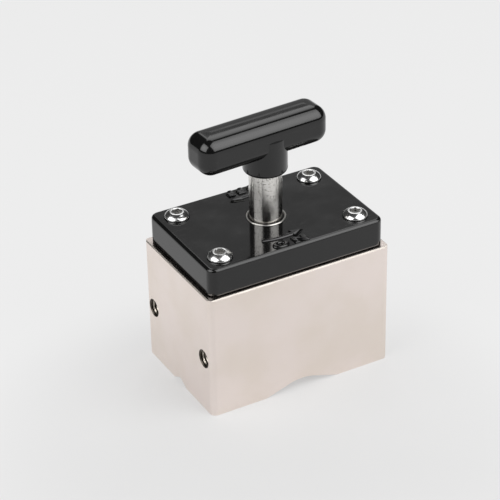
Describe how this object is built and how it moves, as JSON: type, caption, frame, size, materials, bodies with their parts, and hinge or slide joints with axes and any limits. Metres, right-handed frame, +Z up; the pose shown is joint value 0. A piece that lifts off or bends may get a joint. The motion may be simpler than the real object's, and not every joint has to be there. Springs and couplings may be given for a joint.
{
  "type": "magnetic welding square",
  "caption": "Rectangular plated steel magnet block with channelled base, inset black screwed cover and a T-handle on a bare shaft that turns the inner magnet on and off.",
  "frame": {"origin": "middle of the base, on the surface that the block stands on", "axes": "+X along the block, away from the end face with the threaded holes; +Y across the block, from the front long face to the rear one; +Z up along the handle's shaft"},
  "size_m": [0.071, 0.048, 0.0961],
  "materials": {
    "plated_steel": "satin nickel plating with a warm tint",
    "nickel_magnet": "bright nickel plating",
    "brass": "machined",
    "bronze": "sintered, oiled",
    "white_plastic": "low-friction sheet",
    "dark_steel": "blackened",
    "turned_steel": "fine turned, bright",
    "black_rubber": "matte",
    "black_plastic": "glossy moulding",
    "chrome_screw": "polished"
  },
  "bodies": {
    "block": {"housing_block": "plated_steel", "lower_magnet": "nickel_magnet", "magnet_key_front": "brass", "magnet_key_rear": "brass", "slip_disc": "white_plastic", "shaft_bush": "bronze", "shaft_seal": "black_rubber", "seal_case": "turned_steel", "cover_gasket": "black_rubber", "cover": "black_plastic", "cover_screw_front_left": "chrome_screw", "cover_screw_front_right": "chrome_screw", "cover_screw_rear_right": "chrome_screw", "cover_screw_rear_left": "chrome_screw"},
    "rotor": {"shaft": "turned_steel", "retaining_ring": "dark_steel", "thrust_washer": "turned_steel", "drive_plate": "brass", "drive_screw": "dark_steel", "stop_pin": "turned_steel", "upper_magnet": "nickel_magnet", "handle_insert": "brass", "t_handle": "black_plastic"}
  },
  "joints": [
    {"name": "handle_turn", "type": "hinge", "parent": "block", "child": "rotor", "pos_m": [0, 0, 0.05], "axis": [0, 0, 1], "range_deg": [0, 180]}
  ]
}
